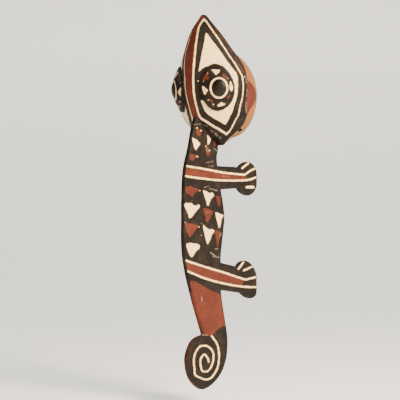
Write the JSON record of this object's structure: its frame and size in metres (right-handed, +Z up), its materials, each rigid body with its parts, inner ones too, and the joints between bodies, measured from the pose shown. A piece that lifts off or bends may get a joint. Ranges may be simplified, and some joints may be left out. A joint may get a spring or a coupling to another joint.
{
  "type": "carved chameleon wall mask",
  "caption": "Painted wooden wall mask carved as a climbing chameleon: hollow wedge head with raised eyes, thin plank body, legs reaching back to flat soles, curled tail.",
  "frame": {"origin": "top of the flat oval rim behind the head, in the middle of its wall, where the mask hangs", "axes": "+Z up towards the snout, -Y out into the room (the crest of the head), +Y towards the wall (flat rim and flat soles)"},
  "size_m": [0.1324, 0.1742, 0.5612],
  "materials": {
    "painted_wood": "hand-painted charcoal black with cream and red-brown patterns, satin; bare tan wood on the hollow back"
  },
  "bodies": {
    "root": {"chameleon_mask": "painted_wood"}
  },
  "joints": []
}
